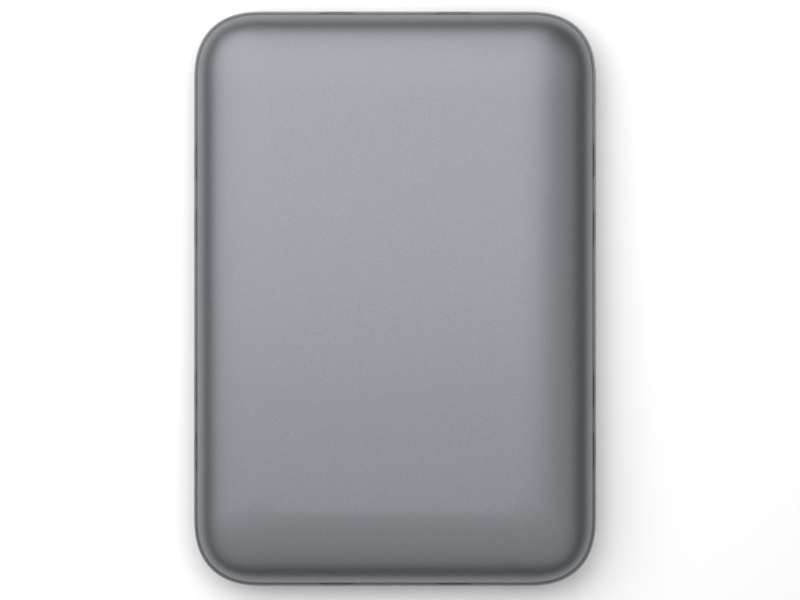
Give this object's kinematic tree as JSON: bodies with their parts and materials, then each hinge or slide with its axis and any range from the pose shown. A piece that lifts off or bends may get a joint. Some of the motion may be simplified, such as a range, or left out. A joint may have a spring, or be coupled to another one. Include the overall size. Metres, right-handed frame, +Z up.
{
  "type": "portable external hard drive",
  "caption": "Slim pillow-shaped portable hard drive: two snapped shells over a disk drive, rubber bumpers and a bridge board, with a data socket in one end and feet below.",
  "frame": {"origin": "on the surface the feet stand on, below the middle of the housing", "axes": "+Y along the length towards the socket end, +Z up through the domed cover, +X across"},
  "size_m": [0.0816, 0.1166, 0.0145],
  "materials": {
    "cover_plastic": "satin",
    "base_plastic": "satin",
    "rubber": "matt",
    "foam": "soft open foam",
    "circuit_board": "solder mask",
    "black_plastic": "moulded",
    "plated_steel": "nickel plated",
    "gold_contact": "gold plated",
    "clear_plastic": "clear moulded",
    "cast_aluminium": "die cast",
    "stamped_lid": "stamped, satin",
    "platter_mirror": "polished",
    "copper_wire": "enamelled copper",
    "bronze": "sintered bronze",
    "ceramic_head": "sintered",
    "ramp_plastic": "natural"
  },
  "bodies": {
    "case": {"top_cover": "cover_plastic", "bottom_cover": "base_plastic", "foot_front_left": "rubber", "foot_front_right": "rubber", "foot_back_left": "rubber", "foot_back_right": "rubber", "bumper_front_left": "rubber", "bumper_front_right": "rubber", "bumper_back_left": "rubber", "bumper_back_right": "rubber", "foam_pad": "foam", "bridge_board": "circuit_board", "bridge_receptacle": "black_plastic", "port_shell": "plated_steel", "port_tongue": "black_plastic", "port_contacts": "gold_contact", "bridge_chip": "black_plastic", "memory_chip": "black_plastic", "bridge_crystal": "plated_steel", "power_inductor": "black_plastic", "activity_lamp": "clear_plastic", "light_pipe": "clear_plastic", "disk_base": "cast_aluminium", "disk_lid": "stamped_lid", "lid_gasket": "rubber", "lid_screws": "plated_steel", "stator_core": "plated_steel", "stator_coils": "copper_wire", "spindle_sleeve": "bronze", "pivot_shaft": "plated_steel", "magnet_lower": "plated_steel", "magnet_upper": "plated_steel", "yoke_lower": "plated_steel", "yoke_upper": "plated_steel", "load_ramp": "ramp_plastic", "crash_stops": "rubber", "air_filter": "foam", "flex_clip": "ramp_plastic", "drive_board": "circuit_board", "board_screws": "plated_steel", "disk_connector": "black_plastic", "controller_chip": "black_plastic", "motor_chip": "black_plastic"},
    "rotor": {"spindle_hub": "cast_aluminium", "rotor_magnet": "plated_steel", "platter_lower": "platter_mirror", "platter_upper": "platter_mirror", "platter_spacer": "cast_aluminium", "platter_clamp": "cast_aluminium", "clamp_screw": "plated_steel"},
    "actuator": {"arm_block": "cast_aluminium", "pivot_sleeve": "plated_steel", "voice_coil": "copper_wire", "suspension_1": "stamped_lid", "suspension_2": "stamped_lid", "suspension_3": "stamped_lid", "suspension_4": "stamped_lid", "heads": "ceramic_head"}
  },
  "joints": [
    {"name": "spindle_spin", "type": "hinge", "parent": "case", "child": "rotor", "pos_m": [0, -0.0175, 0.005], "axis": [0, 0, 1], "continuous": true},
    {"name": "head_swing", "type": "hinge", "parent": "case", "child": "actuator", "pos_m": [-0.015, 0.02493, 0.007], "axis": [0, 0, -1], "range_deg": [0, 31.6]}
  ]
}
